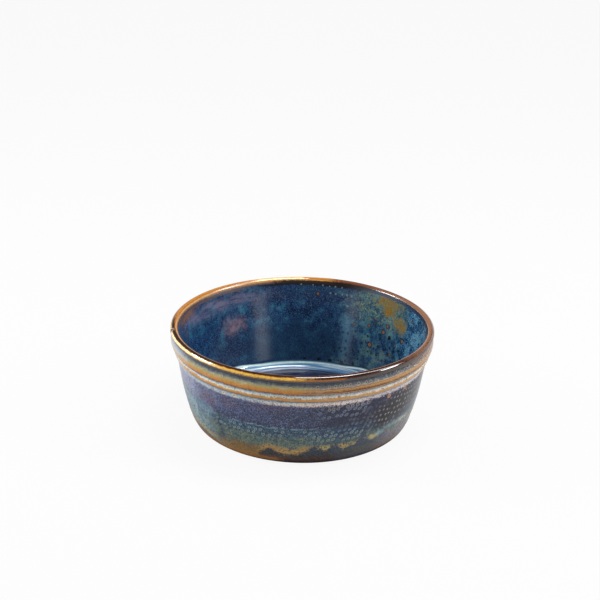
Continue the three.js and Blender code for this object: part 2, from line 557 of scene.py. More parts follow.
class Tree:
    """The nodes of a material or of the surroundings, and what can be worked out with them."""

    def __init__(self, owner):
        owner.use_nodes = True
        self.nodes = owner.node_tree.nodes
        self.links = owner.node_tree.links

    def feed(self, socket, value):
        """Set a socket to a plain number or colour, or link it to a value or a node's output."""
        if isinstance(value, Value):
            self.links.new(value.socket, socket)
        elif isinstance(value, bpy.types.NodeSocket):
            self.links.new(value, socket)
        elif isinstance(value, tuple):
            socket.default_value = linear(value)
        else:
            socket.default_value = value

    def maths(self, operation, *values):
        node = self.nodes.new("ShaderNodeMath")
        node.operation = operation
        for socket, value in zip(node.inputs, values):
            self.feed(socket, value)
        return Value(self, node.outputs[0])

    def most(self, first, *others):
        for other in others:
            first = self.maths("MAXIMUM", first, other)
        return first

    def blend(self, first, second, share):
        """The first number, or the second where the share is 1."""
        node = self.nodes.new("ShaderNodeMix")
        self.feed(node.inputs["Factor"], share)
        self.feed(node.inputs["A"], first)
        self.feed(node.inputs["B"], second)
        return Value(self, node.outputs["Result"])

    def rays(self, *kinds):
        """1 to rays of these kinds, such as the camera's."""
        path = self.nodes.new("ShaderNodeLightPath")
        return self.most(*[Value(self, path.outputs[f"Is {kind} Ray"]) for kind in kinds])


class Paint(Tree):
    """One material: where a point lies on the dish, patterns over it, and the shader they feed."""

    def __init__(self, name):
        self.material = bpy.data.materials.new(name)
        super().__init__(self.material)
        self.shader = self.nodes["Principled BSDF"]
        coordinates = self.nodes.new("ShaderNodeTexCoord")
        scaled = self.nodes.new("ShaderNodeVectorMath")
        scaled.operation = "SCALE"
        scaled.inputs["Scale"].default_value = 1 / MM
        self.links.new(coordinates.outputs["Object"], scaled.inputs[0])
        self.place = scaled.outputs["Vector"]
        parts = self.nodes.new("ShaderNodeSeparateXYZ")
        self.links.new(self.place, parts.inputs[0])
        self.x = Value(self, parts.outputs["X"])
        self.y = Value(self, parts.outputs["Y"])
        self.z = Value(self, parts.outputs["Z"])
        self.depth = HEIGHT - self.z
        self.radius = self.maths("SQRT", self.x * self.x + self.y * self.y)
        self.front_angle = self.maths("ARCTAN2", self.x, 0 - self.y) * math.degrees(1)
        self.back_angle = self.maths("ARCTAN2", self.x, self.y) * math.degrees(1)

    def noise(self, size, detail=2, roughness=0.5, seed=0, squash=1):
        """Soft random levels from 0 to 1, with lumps of about this size. Squash flattens them."""
        node = self.nodes.new("ShaderNodeTexNoise")
        node.inputs["Scale"].default_value = 1
        node.inputs["Detail"].default_value = detail
        node.inputs["Roughness"].default_value = roughness
        moved = self.nodes.new("ShaderNodeMapping")
        moved.inputs["Scale"].default_value = (1 / size, 1 / size, squash / size)
        moved.inputs["Location"].default_value = [seed * step for step in SEED_STEP]
        self.links.new(self.place, moved.inputs["Vector"])
        self.links.new(moved.outputs["Vector"], node.inputs["Vector"])
        return Value(self, node.outputs["Fac"])

    def cells(self, across, down, spacing, jitter):
        """A lattice of dots: distance from the nearest one, and a random number for it."""
        vector = self.nodes.new("ShaderNodeCombineXYZ")
        self.feed(vector.inputs["X"], across / spacing)
        self.feed(vector.inputs["Y"], down / spacing)
        node = self.nodes.new("ShaderNodeTexVoronoi")
        node.voronoi_dimensions = "2D"
        node.inputs["Scale"].default_value = 1
        node.inputs["Randomness"].default_value = jitter
        self.links.new(vector.outputs["Vector"], node.inputs["Vector"])
        parts = self.nodes.new("ShaderNodeSeparateColor")
        self.links.new(node.outputs["Color"], parts.inputs["Color"])
        distance = Value(self, node.outputs["Distance"]) * spacing
        return distance, Value(self, parts.outputs["Red"])

    def patch(self, angle, centre, depth, wide, tall, ragged, soft=0.35):
        """1 inside an uneven oval at an angle and depth, with half-sizes in degrees and millimetres."""
        across = (angle - centre) / wide
        down = (self.depth - depth) / tall
        reach = self.maths("SQRT", across * across + down * down) + ragged
        return reach.rise(1 + soft, 1 - soft)

    def over(self, under, colour, mask):
        """One colour laid over another where the mask is 1."""
        node = self.nodes.new("ShaderNodeMix")
        node.data_type = "RGBA"
        self.feed(node.inputs[0], mask)
        self.feed(node.inputs[6], under)
        self.feed(node.inputs[7], colour)
        return node.outputs[2]

    def finish(self, colour, roughness, height, refraction=1.5):
        """Feed the shader. Height is the fine relief in millimetres."""
        self.feed(self.shader.inputs["Base Color"], colour)
        self.feed(self.shader.inputs["Roughness"], roughness)
        self.shader.inputs["IOR"].default_value = refraction
        bump = self.nodes.new("ShaderNodeBump")
        bump.inputs["Strength"].default_value = 1
        bump.inputs["Distance"].default_value = MM
        self.feed(bump.inputs["Height"], height)
        self.links.new(bump.outputs["Normal"], self.shader.inputs["Normal"])
        return self.material


class Glaze(Paint):
    """Paint for a glaze, with unevenness of several sizes from a centimetre to under a millimetre."""

    def __init__(self, name, seed):
        super().__init__(name)
        self.wander = self.noise(WANDER_SIZE, 3, seed=seed) - 0.5
        self.ragged = self.noise(RAGGED_SIZE, 3, seed=seed + 1) - 0.5
        self.runs = self.noise(RUNS_SIZE, 2, seed=seed + 2, squash=RUNS_SQUASH) - 0.5
        self.grain = self.noise(GRAIN_SIZE, 2, 0.6, seed=seed + 3)
        self.flecks = self.noise(FLECKS_SIZE, 1, 0.5, seed=seed + 4)

    def fine_relief(self, grain, ragged):
        """The fine relief, from the heights of its grain and its ragged part."""
        return self.grain * grain + self.ragged * ragged

    def from_spot(self, angle, centre, depth):
        """Distance in millimetres from one place on the wall."""
        across = (angle - centre) * self.radius * math.radians(1)
        down = self.depth - depth
        return self.maths("SQRT", across * across + down * down)

    def spots(self, angle, places):
        """1 on round spots, from (angle, depth, radius) places."""
        masks = [
            self.from_spot(angle, centre, depth).rise(reach * (1 + SPOT_EDGE), reach * (1 - SPOT_EDGE))
            for centre, depth, reach in places
        ]
        return self.most(*masks)


class Layers:
    """Colours laid one over another, each where its mask is 1."""

    def __init__(self, paint, colour):
        self.paint = paint
        self.colour = colour

    def add(self, colour, mask):
        self.colour = self.paint.over(self.colour, colour, mask)

    def add_rings(self, angle, places, colour, strength, share, heart, heart_strength):
        """Round spots of one colour, with another in a share of each one's radius."""
        hearts = [(centre, depth, reach * share) for centre, depth, reach in places]
        self.add(colour, self.paint.spots(angle, places) * strength)
        self.add(heart, self.paint.spots(angle, hearts) * heart_strength)


# Finish of the coats: roughness, what is added to it in places, and refraction
OUTSIDE_ROUGHNESS = 0.1
FOOT_ROUGHER = 0.8
INSIDE_ROUGHNESS = 0.15
INSIDE_REFRACTION = 1.6
RIM_ROUGHNESS = 0.08
RIM_BEHIND_ROUGHER = 0.16
RIM_BARE_ROUGHER = 0.6
RIM_REFRACTION = 1.85
BASE_ROUGHNESS = 0.2
BASE_THIN_ROUGHER = 0.3
CLAY_ROUGHNESS = 0.75

# Fine relief of the coats: (grain, ragged part), or the grain alone
OUTSIDE_RELIEF = (0.012, 0.03)
INSIDE_RELIEF = (0.006, 0.012)
RIM_RELIEF = (0.008, 0.02)
BASE_RELIEF = 0.012
CLAY_RELIEF = 0.05

# Spacing of the bubbles' rings and of the sage speckle outside, and of the pits inside
BUBBLE_SPACING = 2.9
SPECKLE_SPACING = 1.15
PIT_SPACING = 4.4

# How far the middle of the wall lies within the rim, outside and inside
WALL_INSET = 5
LINING_INSET = 9

# Depths outside: the two grooves, where the wall and its teal begin, and where the foot turns bare
UPPER_GROOVE = (9.6, 12.4)
LOWER_GROOVE = (14.4, 18)
WALL_EDGE = (16.9, 18.3)
TEAL_LINE = 30.8
BARE_FOOT = (49, 53)

# Colours of the outside
VIOLET = (54, 50, 82)
INDIGO = (31, 37, 68)
NAVY = (16, 20, 56)
NIGHT = (12, 5, 8)
STEEL = (148, 154, 184)
TEAL = (34, 66, 88)
SEA = (140, 172, 186)
SAGE = (92, 104, 92)
OCHRE = (206, 160, 90)
SLATE = (46, 56, 70)
ASH = (120, 116, 124)
FOOT_BROWN = (66, 25, 4)
ORANGE = (166, 118, 82)

# Collar from the neck to the wall, at the front's left and at its right: (depth, colour). The black at
# the top, just under the lip, is painted shade, and the near-white at the foot of the upper groove,
# where the lower bead begins, is partly a painted highlight.
COLLAR_LEFT = [
    (3.3, (14, 9, 9)), (3.8, (46, 50, 62)), (4.5, (78, 86, 100)), (5, (116, 120, 110)),
    (5.7, (142, 142, 108)), (6.5, (166, 144, 86)), (7.3, (186, 134, 56)), (8.8, (184, 114, 30)),
    (9.3, (144, 80, 26)), (9.6, (84, 56, 36)), (10, (108, 130, 142)), (10.8, (154, 178, 188)),
    (11.4, (208, 218, 214)), (12, (226, 222, 206)), (12.4, (192, 142, 76)), (13.4, (190, 126, 52)),
    (14, (156, 108, 56)), (14.4, (88, 98, 102)), (15, (134, 156, 166)), (15.9, (212, 218, 220)),
    (16.7, (216, 212, 208)), (17.4, (122, 114, 134)), (18, (66, 64, 94)),
]
COLLAR_RIGHT = [
    (3.3, (14, 9, 9)), (3.8, (46, 48, 56)), (4.8, (82, 86, 96)), (5.8, (104, 104, 106)),
    (6.3, (152, 134, 116)), (6.7, (104, 64, 42)), (7.1, (170, 136, 94)), (7.6, (172, 120, 54)),
    (8.2, (132, 80, 36)), (8.7, (72, 35, 15)), (9.2, (184, 146, 102)), (9.6, (88, 60, 44)),
    (10.1, (126, 138, 146)), (10.8, (164, 180, 188)), (11.4, (208, 212, 208)), (12, (226, 216, 198)),
    (12.4, (188, 146, 94)), (13.3, (184, 128, 64)), (13.9, (192, 154, 108)), (14.4, (98, 96, 98)),
    (15, (156, 152, 152)), (16, (230, 212, 198)), (17, (220, 200, 190)), (17.9, (72, 64, 92)),
]

# Wall from the collar to the drips, and the first coat below them: (depth, colour)
WALL = [
    (17.5, VIOLET), (22, INDIGO), (29.8, (28, 39, 72)), (31, (34, 62, 90)), (36, TEAL),
    (41, (60, 86, 90)), (46, SAGE),
]
FIRST_COAT = [
    (38, (44, 48, 72)), (44, SLATE), (48, (52, 46, 38)), (50, (74, 40, 16)), (51.5, FOOT_BROWN),
]

# Blotches on the wall: (angle, depth, half-width in degrees, half-height, colour, strength)
WALL_BLOTCHES = [
    (-47, 24, 5, 4, (96, 66, 86), 0.6),
    (-51, 29.5, 6, 3, (92, 136, 166), 0.35),
    (-33, 21.5, 4, 3, (98, 74, 90), 0.5),
    (-15, 19.5, 10, 2, (78, 62, 88), 0.5),
    (2, 24, 7, 4, (66, 86, 122), 0.4),
    (20, 23, 18, 8, (13, 13, 36), 0.9),
    (-20, 35, 18, 4, (26, 60, 90), 0.4),
    (20, 35, 13, 5, (26, 56, 90), 0.5),
    (74, 25, 18, 12, (46, 42, 44), 0.8),
]

# Dark patches outside: (angle, depth), the first one in front, their half-sizes and their slant
DARK_PATCHES = [(48, 27), (158, 26), (-140, 27)]
DARK_HALF_WIDTH = 13
DARK_HALF_HEIGHT = 10
DARK_SLANT = 0.58
DARK_SLANT_FROM = 26

# Single spots outside: (angle, depth, radius)
CREAM_SPOTS = [
    (-40, 15.9, 0.7), (-35.5, 16.3, 0.9), (-30, 16.2, 1), (-33.5, 12, 0.6), (-26, 12, 0.5),
    (-11, 11.8, 0.7), (-7, 11.8, 0.7),
]
ORANGE_SPOTS = [(42, 18.6, 1.2), (53, 18, 1.1), (15.8, 11.8, 0.6)]

# Pale smears at the end of the drips: (angle, depth, half-width in degrees, colour)
PALE_SMEARS = [
    (36.6, 41.3, 2.6, (196, 178, 116)),
    (40.5, 40, 2.6, (124, 156, 160)),
    (47, 38.5, 4, (112, 136, 146)),
    (57, 38, 5, (168, 172, 172)),
]
SMEAR_HALF_HEIGHT = 1.3

# Row of rings under the collar at the right: (angle, depth, radius)
WALL_ROW = [
    (12.4, 19.6, 0.9), (14.2, 19.3, 0.9), (16.2, 19.4, 0.9), (20.6, 18.9, 1), (22.8, 18.8, 1),
    (25.2, 18.6, 1), (27.8, 19.2, 1), (30.6, 18.7, 1),
]

# Row of small rings on the neck's lower edge: (angle, radius)
NECK_ROW_DEPTH = 5.3
NECK_ROW = [
    (-3, 0.55), (-0.8, 0.55), (6.6, 0.8), (11.4, 0.7), (13.9, 0.75), (16, 0.8), (18.1, 0.8),
    (20.2, 0.75), (23.8, 0.85), (27.2, 0.8), (29.3, 0.8), (31.8, 0.7),
]


def collar_colour(paint):
    """Beads broken to amber, with pale glaze pooled in the grooves between them."""
    angle = paint.front_angle
    depth = paint.depth
    runs = paint.runs
    ragged = paint.ragged
    grooves = paint.most(depth.band(*UPPER_GROOVE, 0.4), depth.band(*LOWER_GROOVE, 0.4))
    around = paint.noise(7, 3, 0.6, seed=23, squash=4) - 0.5
    uneven = runs * 1.5 + ragged * 0.9 + (paint.grain - 0.5) * 0.8
    shifted = depth + uneven + around * 1.2
    right = (angle + around * 40 + runs * 12).rise(-8, 16) * angle.rise(170, 140)
    layers = Layers(paint, shifted.ramp(COLLAR_LEFT))
    layers.add(shifted.ramp(COLLAR_RIGHT), right)
    # Paler stretches, a painted highlight that turns the far left almost white, and a painted bluish
    # sheen on the neck there
    pale = around.rise(0.04, 0.22) * 0.4
    far = (angle + runs * 20).rise(-52, -68) * angle.rise(-130, -100) * 0.55
    layers.add((196, 182, 160), paint.most(pale, far) * depth.rise(5, 6))
    far_left_sheen = (depth + ragged * 2).band(3.8, 7, 0.6) * (angle + runs * 20).band(-88, -58, 6)
    layers.add((164, 172, 190), far_left_sheen * 0.6)
    # In the lower groove blue to the left, sand in front and lavender to the right
    lower = (depth + runs * 1.5).band(14.6, 17.4, 0.6)
    layers.add((146, 166, 180), lower * angle.rise(-8, -24) * 0.6)
    sand = depth.band(15.8, 17.6, 0.4) * (angle + paint.wander * 20).band(-18, 14, 6)
    layers.add((214, 186, 166), sand * 0.5)
    layers.add((172, 170, 182), lower * angle.rise(16, 34) * 0.5)
    # At the right a tan neck, gold along the upper bead and a dark line under it
    tan = (depth + ragged).band(3.4, 6, 0.6) * (angle + runs * 20).band(58, 96, 14)
    layers.add((156, 116, 86), tan * 0.75)
    gold = (depth + ragged).band(6.2, 8.2, 0.5) * (angle + runs * 12).band(30, 92, 8)
    layers.add((176, 126, 58), gold * 0.4)
    under = (depth + ragged * 0.7).band(8.7, 9.1, 0.3) * (angle + runs * 12).band(14, 92, 8)
    layers.add((84, 42, 18), under * 0.7)
    # Dark and pale flecks on the neck at the right
    neck = (depth + ragged).band(3.6, 5.8, 0.4) * (angle + runs * 20).band(38, 84, 10)
    layers.add((34, 28, 28), paint.flecks.rise(0.5, 0.6) * neck * 0.6)
    layers.add((168, 160, 148), paint.grain.rise(0.54, 0.66) * neck * 0.5)
    # Tan drops into the upper groove, and brown streaks on the beads
    drops = (runs + ragged * 0.4).rise(0.03, 0.16) * depth.band(9.4, 12.2, 0.5)
    layers.add((182, 138, 88), drops * angle.band(-6, 60, 10) * 0.55)
    streaks = runs.rise(0.02, 0.18) * (1 - grooves) * depth.rise(5.8, 6.8)
    layers.add((112, 64, 26), streaks * 0.15)
    # Blue and white flecks in the grooves, and pale ones on the neck's lower edge
    layers.add((70, 94, 120), ragged.rise(0.04, 0.16) * grooves * 0.4)
    layers.add((44, 72, 100), paint.flecks.rise(0.53, 0.63) * grooves * 0.65)
    light = paint.grain.rise(0.56, 0.7)
    layers.add((224, 226, 220), light * grooves * 0.6)
    layers.add((190, 194, 164), light * depth.band(5, 6.6, 0.4) * 0.6)
    row = [(centre, NECK_ROW_DEPTH, reach) for centre, reach in NECK_ROW]
    layers.add_rings(angle, row, (150, 146, 132), 0.75, 0.5, (50, 50, 54), 0.9)
    return layers.colour


def left_smudge(paint):
    """1 on the dark smudge that runs down the wall at the left."""
    return (paint.front_angle + paint.wander * 10).band(-42, -38, 2) * paint.depth.band(29, 49, 3)


def wall_layers(paint):
    """Indigo over teal, paler and greyer to the left, with fine specks all over."""
    angle = paint.front_angle
    depth = paint.depth
    wander = paint.wander
    ragged = paint.ragged
    layers = Layers(paint, (depth + wander * 5 + ragged * 2.5).ramp(WALL))
    blotches = paint.noise(5, 3, 0.6, seed=21)
    layers.add((80, 64, 92), blotches.rise(0.5, 0.66) * depth.rise(31, 27) * 0.55)
    layers.add((26, 50, 92), blotches.rise(0.47, 0.36) * 0.6)
    clouds = paint.noise(3.2, 3, 0.55, seed=22)
    upper = depth.rise(32, 28)
    layers.add((22, 20, 44), clouds.rise(0.48, 0.38) * upper * 0.75)
    layers.add((76, 90, 130), clouds.rise(0.53, 0.66) * upper * 0.55)
    blue = (angle + wander * 30).band(-60, -14, 10) * depth.rise(30, 26)
    layers.add((58, 72, 114), blue * 0.55)
    # The left side is steel blue above and sea-green below, with darker and lighter clouds
    left = (angle + wander * 36 + ragged * 16).rise(-38, -60) * angle.rise(-116, -90)
    layers.add(STEEL, left * depth.rise(30, 24) * 0.85)
    sea = left * depth.rise(24, 32)
    layers.add(SEA, sea * 0.85)
    broken = clouds + ragged * 0.3
    layers.add((62, 92, 116), broken.rise(0.5, 0.4) * sea * 0.6)
    layers.add((176, 188, 176), broken.rise(0.53, 0.64) * sea * 0.5)
    for centre, at, wide, tall, tint, strength in WALL_BLOTCHES:
        blotch = paint.patch(angle, centre, at, wide, tall, wander * 1.2 + ragged * 1.5, 0.7)
        layers.add(tint, blotch * strength)
    # A thin pale line where the teal begins, and the dark smudge
    line = depth - TEAL_LINE + wander * 4 + ragged
    edge = line.band(-0.4, 0.4, 0.4) * angle.band(-38, 12, 4) * clouds.rise(0.4, 0.55)
    layers.add((122, 160, 180), edge * 0.65)
    layers.add((24, 42, 66), left_smudge(paint) * 0.85)
    # A dark streak that climbs to the right, and a lighter one over it
    climb = depth - 31 + (angle - 5) * 0.38 + wander * 4 + ragged
    shown = angle.band(6, 41, 3)
    layers.add((66, 80, 118), climb.band(-5.5, -2.5, 1.2) * shown * 0.25)
    layers.add(NAVY, climb.band(-1.2, 1.2, 1) * shown * 0.8)
    # Specks, with fewer pale ones to the right
    pale = paint.flecks.rise(0.52, 0.62) * (1 - angle.band(12, 80, 8) * 0.85)
    layers.add((118, 130, 168), pale * depth.rise(33, 29) * 0.6)
    layers.add((120, 148, 152), pale * depth.rise(29, 33) * 0.65)
    layers.add((6, 10, 32), paint.grain.rise(0.48, 0.38) * 0.8)
    return layers


def dark_mask(paint):
    """1 on the near-black patches."""
    slanted = paint.front_angle + (paint.depth - DARK_SLANT_FROM) * DARK_SLANT
    uneven = paint.wander * 0.8 + paint.ragged * 0.5
    size = (DARK_HALF_WIDTH, DARK_HALF_HEIGHT)
    patches = [paint.patch(slanted, *place, *size, uneven, 0.55) for place in DARK_PATCHES]
    return paint.most(*patches)


def add_bubbles(paint, layers, dark):
    """Pale rings where bubbles have broken, and closer dots on the dark patches."""
    angle = paint.front_angle
    depth = paint.depth
    wander = paint.wander
    across = angle * math.radians(RIM_RADIUS - WALL_INSET)
    loose = paint.ragged * 0.5
    distance, chance = paint.cells(across + depth * 0.4, depth, BUBBLE_SPACING, 0.55)
    near = distance + loose + chance * 0.2
    upper = (depth + wander * 4).band(31.8, 37, 1) * angle.band(-42, 6, 4)
    lower = (depth + wander * 5).band(32, 39.5, 1.5) * angle.band(3, 33, 4)
    behind = (depth + wander * 8).band(20, 38, 2) * wander.rise(0, 0.1) * abs(angle).rise(76, 90)
    zone = paint.most(
        paint.patch(angle, 18, 21.2, 14, 4.4, wander * 0.8) * 0.65,
        paint.patch(angle, 26, 29, 9, 7, wander) * 0.2,
        upper * chance.rise(0.25, 0.4) * 0.75,
        lower * 0.65,
        behind * 0.6,
    )
    zone = zone * chance.rise(0.15, 0.3)
    pale = depth.ramp([(26, (120, 128, 150)), (33, (128, 154, 164)), (39, (150, 162, 144))])
    layers.add((14, 30, 52), near.rise(1.6, 1.15) * zone * 0.7)
    layers.add(pale, near.rise(1.15, 0.98) * zone)
    layers.add((12, 28, 46), near.rise(0.72, 0.52) * zone)
    # Below them a fine speckle of sage with dark pinholes
    distance, chance = paint.cells(across, depth + across * 0.12, SPECKLE_SPACING, 0.8)
    low = (depth + wander * 5 + paint.ragged * 3).band(36.5, 44, 1.8)
    sides = angle.band(-100, -46, 5) + (angle + wander * 10).band(6, 48, 4)
    low = low * (0.7 - sides * 0.45) * (1 - left_smudge(paint) * 0.8)
    sage = chance.ramp([(0, (76, 106, 108)), (0.5, (108, 124, 108)), (1, (150, 148, 108))])
    layers.add(sage, low * (0.35 + chance.rise(0.2, 0.7) * 0.35))
    layers.add((20, 40, 52), distance.rise(0.42, 0.2) * low * 0.9)
    # Dots on the dark patches, and fainter ones beside the first
    distance, chance = paint.cells(across + depth * 0.3, depth - across * 0.12, BUBBLE_SPACING, 0.35)
    beside = paint.patch(angle, 33, 28, 11, 7, wander, 0.6) * 0.3
    edge = paint.patch(angle, 70, 24, 14, 8, wander, 0.6) * 0.7
    dots = (distance + loose).rise(0.85, 0.45) * paint.most(dark, beside, edge)
    layers.add((130, 124, 130), dots * chance.rise(0, 0.2) * 0.8)


def first_coat(paint):
    """The darker coat that shows below the drips, down to the brown foot."""
    depth = paint.depth
    around = paint.front_angle + paint.wander * 20
    shifted = depth + paint.ragged * 3
    layers = Layers(paint, shifted.ramp(FIRST_COAT))
    layers.add((66, 74, 86), around.band(16, 46, 6) * 0.5)
    layers.add((92, 88, 58), around.band(22, 48, 8) * shifted.band(45.5, 49, 1.5) * 0.4)
    ash = (depth + paint.wander * 10).ramp([(38, (110, 110, 122)), (45, ASH), (51, (110, 80, 62))])
    layers.add(ash, around.band(42, 110, 8) * depth.rise(53, 50) * 0.8)
    layers.add((80, 94, 114), paint.flecks.rise(0.52, 0.62) * 0.55)
    layers.add((22, 24, 36), paint.grain.rise(0.48, 0.36) * 0.6)
    return layers.colour


def add_drips(paint, layers):
    """The second coat's lower edge in ochre tips, and the darker first coat under it."""
    angle = paint.front_angle
    depth = paint.depth
    ragged = paint.ragged
    grain = paint.grain
    line = angle.levels(DRIP_LINE + [(180, DRIP_LINE[0][1])])
    above = line - depth + ragged * 4.5 + (grain - 0.5) * 2
    thin = (above + ragged * 5).rise(6, 1) * (depth + ragged * 5).rise(39.5, 43.5)
    ochre = grain.ramp([(0.36, (84, 74, 46)), (0.5, OCHRE), (0.64, (174, 144, 92))])
    sage = grain.ramp([(0.36, (72, 82, 66)), (0.5, (124, 124, 88)), (0.64, (172, 164, 118))])
    warm = paint.most(angle.band(-40, 5, 4), paint.wander.rise(0, 0.1) * 0.7)
    layers.add(paint.over(sage, ochre, warm), thin * (0.55 + warm * 0.4))
    layers.add((58, 52, 40), paint.flecks.rise(0.55, 0.64) * thin * 0.6)
    tips = (above + ragged * 4).rise(5.5, 2.5) * (depth + ragged * 3).rise(40.5, 42.6)
    tips = tips * angle.band(6, 34, 3) * grain.rise(0.4, 0.52)
    layers.add((184, 156, 94), tips * 0.75)
    heel = paint.patch(angle, -27, 48.5, 13, 5, ragged * 1.6 + paint.wander, 0.6)
    layers.add(grain.ramp([(0.36, (90, 76, 28)), (0.6, (146, 102, 46))]), heel * 0.85)
    layers.add(first_coat(paint), above.rise(1, -1.2))
    # Pale smears to the right, in line with the last tips
    for centre, at, wide, tint in PALE_SMEARS:
        uneven = ragged * 3 + paint.wander
        smear = paint.patch(angle, centre, at, wide, SMEAR_HALF_HEIGHT, uneven, 0.9)
        layers.add(tint, smear * 0.7)
    # Warm brown along the foot at the left, and a painted contact shadow along the last edge, fainter
    # there
    around = angle + paint.wander * 20
    layers.add((168, 110, 46), (depth + ragged * 3).rise(49, 51.5) * around.band(-110, -12, 6) * 0.8)
    layers.add((20, 7, 3), depth.rise(52, 53.6) * (1 - around.band(-110, -26, 8) * 0.7))


def outer_glaze():
    paint = Glaze("glazed_outside", 1)
    angle = paint.front_angle
    depth = paint.depth
    wall = wall_layers(paint)
    dark = dark_mask(paint)
    wall.add(NIGHT, dark * 0.95)
    add_bubbles(paint, wall, dark)
    add_drips(paint, wall)
    # The wall's speckled upper edge, a little higher at the right
    higher = angle.rise(14, 34) * 0.35
    speckled = depth + higher + paint.ragged * 2.4 + (paint.grain + paint.flecks - 1) * 4
    layers = Layers(paint, collar_colour(paint))
    layers.add(wall.colour, speckled.rise(*WALL_EDGE))
    layers.add_rings(angle, WALL_ROW, (148, 146, 144), 0.55, 0.5, (36, 38, 56), 0.85)
    layers.add_rings(angle, CREAM_SPOTS, (214, 204, 184), 1, 0.45, (96, 78, 62), 0.9)
    layers.add_rings(angle, ORANGE_SPOTS, ORANGE, 1, 0.35, (90, 70, 58), 0.8)
    roughness = OUTSIDE_ROUGHNESS + depth.rise(*BARE_FOOT) * FOOT_ROUGHER
    return paint.finish(layers.colour, roughness, paint.fine_relief(*OUTSIDE_RELIEF))


# Lining from dark to light, and the pool where the wall meets the floor: (level or depth, colour)
LINING = [(0.34, (8, 20, 54)), (0.46, (17, 36, 74)), (0.57, (28, 58, 93)), (0.68, (46, 94, 118))]
# The near-white stops from 47.7 to 48.5 are pooled glaze and a painted highlight
POOL_AND_HIGHLIGHT = [
    (46.6, (22, 42, 64)), (47.3, (34, 66, 92)), (47.7, (156, 182, 190)), (48.1, (230, 240, 236)),
    (48.5, (168, 198, 206)), (48.8, (84, 138, 168)), (49.4, (60, 108, 146)), (49.8, (122, 156, 178)),
    (50.1, (74, 104, 140)), (50.5, (130, 150, 176)), (50.8, (82, 94, 124)), (51, (42, 46, 70)),
]

# Where the rim's line ends, the pool begins and the floor begins: depths, depths and radii
RIM_LINE = (4.6, 3.5)
POOL_EDGE = (46.2, 47.2)
FLOOR_EDGE = (52, 49.4)

# Spots inside: (angle from the back, depth, radius)
BROWN_SPOTS = [
    (7.7, 8.6, 1.2), (64.5, 21.6, 1.7), (48.5, 22.2, 1.6), (50.5, 18.2, 1.3), (38.3, 21.4, 1.1),
    (29.5, 22.8, 1), (40.8, 31.8, 1.7), (69, 8.4, 1), (59, 26.5, 0.8), (56.5, 32.3, 1),
]
DARK_PITS = [
    (53.6, 23.8, 1.2), (31.7, 45.2, 1), (24.4, 46, 1.1), (17, 46.2, 1.1), (10.2, 46.3, 1.1),
    (1.7, 46.4, 0.8),
]

# Pale specks inside, most of them close under the rim: (angle from the back, depth, radius)
PALE_SPECKS = [
    (-1, 3.6, 0.5), (5, 3.7, 0.4), (10, 3.6, 0.5), (13.5, 3.8, 0.4), (16.5, 3.7, 0.5),
    (20, 3.8, 0.4), (14.2, 7.6, 0.6), (17, 7.8, 0.6), (20.5, 7.6, 0.6), (23, 7.4, 0.7),
    (25.6, 7.6, 0.7), (24, 13.6, 0.7),
]

# Ochre breaks inside: (angle from the back, depth, half-width in degrees, half-height)
OCHRE_BREAKS = [(47.5, 5.4, 6.5, 2.2), (50, 9.4, 3.4, 2.8), (59.5, 14.8, 3.6, 2.8)]
BREAK_RIM = 1.3


def lining_layers(paint):
    """Deep blue, mottled with turquoise, greener and greyer to the right."""
    angle = paint.back_angle
    depth = paint.depth
    wander = paint.wander
    grain = paint.grain
    mottle = paint.noise(6, 5, 0.58, seed=31)
    layers = Layers(paint, (mottle + wander * 0.25).ramp(LINING))
    green = mottle.ramp([(0.38, (8, 30, 66)), (0.5, (30, 66, 93)), (0.62, (74, 114, 118))])
    layers.add(green, (angle + wander * 40).band(26, 84, 12) * 0.75)
    low = paint.patch(angle, -6, 40, 34, 15, wander, 0.5)
    layers.add((9, 36, 74), paint.patch(angle, 4, 7, 20, 5, wander, 0.7) * 0.7)
    layers.add((28, 54, 81), low * 0.7)
    layers.add((14, 34, 76), paint.patch(angle, -70, 22, 16, 8, wander, 0.7) * 0.5)
    layers.add((36, 38, 66), paint.patch(angle, -46, 36, 14, 9, wander, 0.6) * 0.7)
    # The far right, cloudy and lighter
    far = (angle + wander * 20).band(66, 98, 6) * depth.rise(40, 26)
    cloudy = (mottle - 0.5) * 0.7 + (grain - 0.5) * 1.2
    layers.add((12, 40, 80), far * cloudy.rise(0, -0.12) * 0.5)
    layers.add((74, 132, 172), far * cloudy.rise(-0.06, 0.12) * 0.85)
    patchy = mottle.rise(0.46, 0.6) * grain.rise(0.5, 0.64)
    layers.add((130, 154, 148), patchy * far * 0.65)
    # A painted reflection of a lamp, as a light streak down the wall, and olive low down at the right
    lamp_streak = (angle + wander * 4).band(23, 27, 2) * depth.band(20, 46, 5)
    layers.add((58, 106, 136), lamp_streak * 0.75)
    olive = paint.patch(angle, 50, 36, 14, 9, wander * 1.2, 0.7) * mottle.rise(0.42, 0.58)
    layers.add((78, 88, 72), olive * 0.5)
    # Fine turquoise specks, fewer in the middle low, and dark ones
    layers.add((72, 120, 142), paint.flecks.rise(0.52, 0.64) * (1 - low * 0.6) * 0.45)
    layers.add((8, 22, 50), grain.rise(0.47, 0.36) * 0.6)
    return layers


